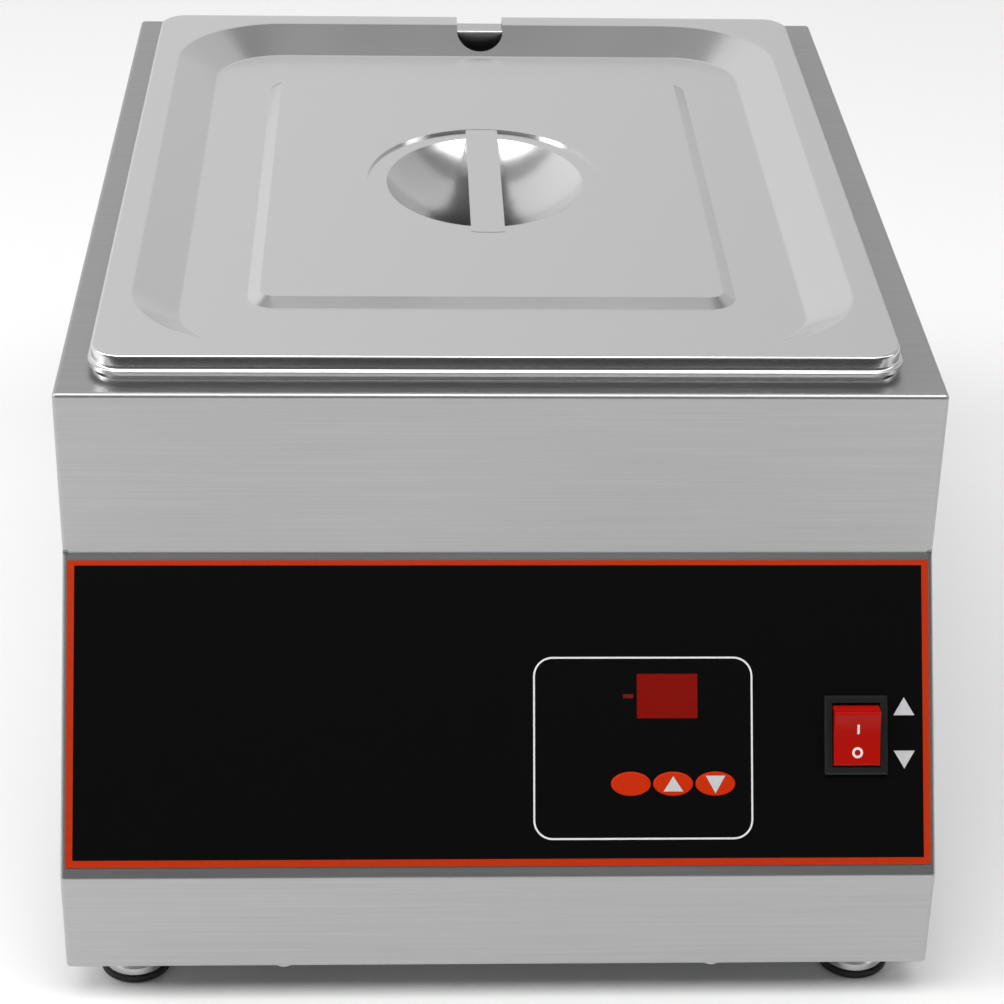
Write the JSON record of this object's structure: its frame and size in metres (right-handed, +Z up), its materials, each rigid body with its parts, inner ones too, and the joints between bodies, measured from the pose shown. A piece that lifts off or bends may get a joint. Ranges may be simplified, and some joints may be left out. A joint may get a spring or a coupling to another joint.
{
  "type": "chocolate melter",
  "caption": "Table-top water-bath chocolate melter: stainless box with sloped control panel, heated tank, lift-out half-size pan and notched lid.",
  "frame": {"origin": "on the table, under the middle of the whole object's box", "axes": "+Z up, the control panel faces -Y, X runs from left to right seen from the front"},
  "size_m": [0.288, 0.4112, 0.2089],
  "materials": {
    "casing_steel": "brushed",
    "pan_steel": "satin",
    "lid_steel": "satin",
    "fastener_steel": "plain",
    "bright_metal": "polished",
    "foot_rubber": "matt",
    "insulation": "fibrous",
    "element_steel": "plain",
    "fitting_brass": "plain",
    "seal_rubber": "matt",
    "cutout_plastic": "matt",
    "film_black": "semi-gloss",
    "display_red": "gloss",
    "black_plastic": "matt",
    "board_green": "satin",
    "spacer_plastic": "matt",
    "transformer_core": "matt",
    "terminal_plastic": "matt",
    "key_orange": "semi-gloss",
    "rocker_red": "gloss",
    "lead_metal": "plain",
    "lead_insulation": "satin"
  },
  "bodies": {
    "housing": {"casing": "casing_steel", "rear_cover": "casing_steel", "base_plate": "casing_steel", "water_tank": "casing_steel", "rear_cover_screws": "fastener_steel", "base_plate_screws": "fastener_steel", "foot_bolts": "fastener_steel", "foot_nuts": "fastener_steel", "cutout_studs": "fastener_steel", "cutout_nuts": "fastener_steel", "board_studs": "fastener_steel", "board_nuts": "fastener_steel", "inlet_screws": "fastener_steel", "inlet_nuts": "fastener_steel", "terminal_screws": "fastener_steel", "earth_stud": "fastener_steel", "earth_nut": "fastener_steel", "foot_cups": "bright_metal", "element_clips": "bright_metal", "foot_pads": "foot_rubber", "tank_wrap": "insulation", "heating_element": "element_steel", "temperature_probe": "element_steel", "element_fittings": "fitting_brass", "element_nuts": "fitting_brass", "probe_gland": "fitting_brass", "probe_nut": "fitting_brass", "inlet_pins": "fitting_brass", "switch_blades": "fitting_brass", "tank_gaskets": "seal_rubber", "overheat_cutout": "cutout_plastic", "panel_film": "film_black", "display_filter": "display_red", "display_block": "black_plastic", "tact_switches": "black_plastic", "board_relay": "black_plastic", "inlet_socket": "black_plastic", "switch_housing": "black_plastic", "lead_clips": "black_plastic", "control_board": "board_green", "board_spacers": "spacer_plastic", "board_transformer": "transformer_core", "board_terminals": "terminal_plastic", "terminal_block": "terminal_plastic", "lead_terminals": "lead_metal", "mains_leads": "lead_insulation", "switch_leads": "lead_insulation", "heater_leads": "lead_insulation", "probe_lead": "lead_insulation"},
    "pan": {"food_pan": "pan_steel"},
    "lid": {"pan_lid": "lid_steel", "lid_strap": "lid_steel"},
    "rocker": {"switch_rocker": "rocker_red"},
    "set_key": {"key_set": "key_orange", "plunger_set": "terminal_plastic"},
    "up_key": {"key_up": "key_orange", "plunger_up": "terminal_plastic"},
    "down_key": {"key_down": "key_orange", "plunger_down": "terminal_plastic"}
  },
  "joints": [
    {"name": "pan_lift", "type": "slide", "parent": "housing", "child": "pan", "axis": [0, 0, 1], "range_m": [0, 0.16]},
    {"name": "lid_lift", "type": "slide", "parent": "pan", "child": "lid", "axis": [0, 0, 1], "range_m": [0, 0.15]},
    {"name": "rocker_tilt", "type": "hinge", "parent": "housing", "child": "rocker", "pos_m": [0.1175, -0.17911, 0.08905], "axis": [1, 0, 0], "range_deg": [-22, 0]},
    {"name": "key_set_press", "type": "slide", "parent": "housing", "child": "set_key", "axis": [0, 0.8427, -0.5384], "range_m": [0, 0.0004], "stiffness_N_per_m": 600},
    {"name": "key_up_press", "type": "slide", "parent": "housing", "child": "up_key", "axis": [0, 0.8427, -0.5384], "range_m": [0, 0.0004], "stiffness_N_per_m": 600},
    {"name": "key_down_press", "type": "slide", "parent": "housing", "child": "down_key", "axis": [0, 0.8427, -0.5384], "range_m": [0, 0.0004], "stiffness_N_per_m": 600}
  ]
}
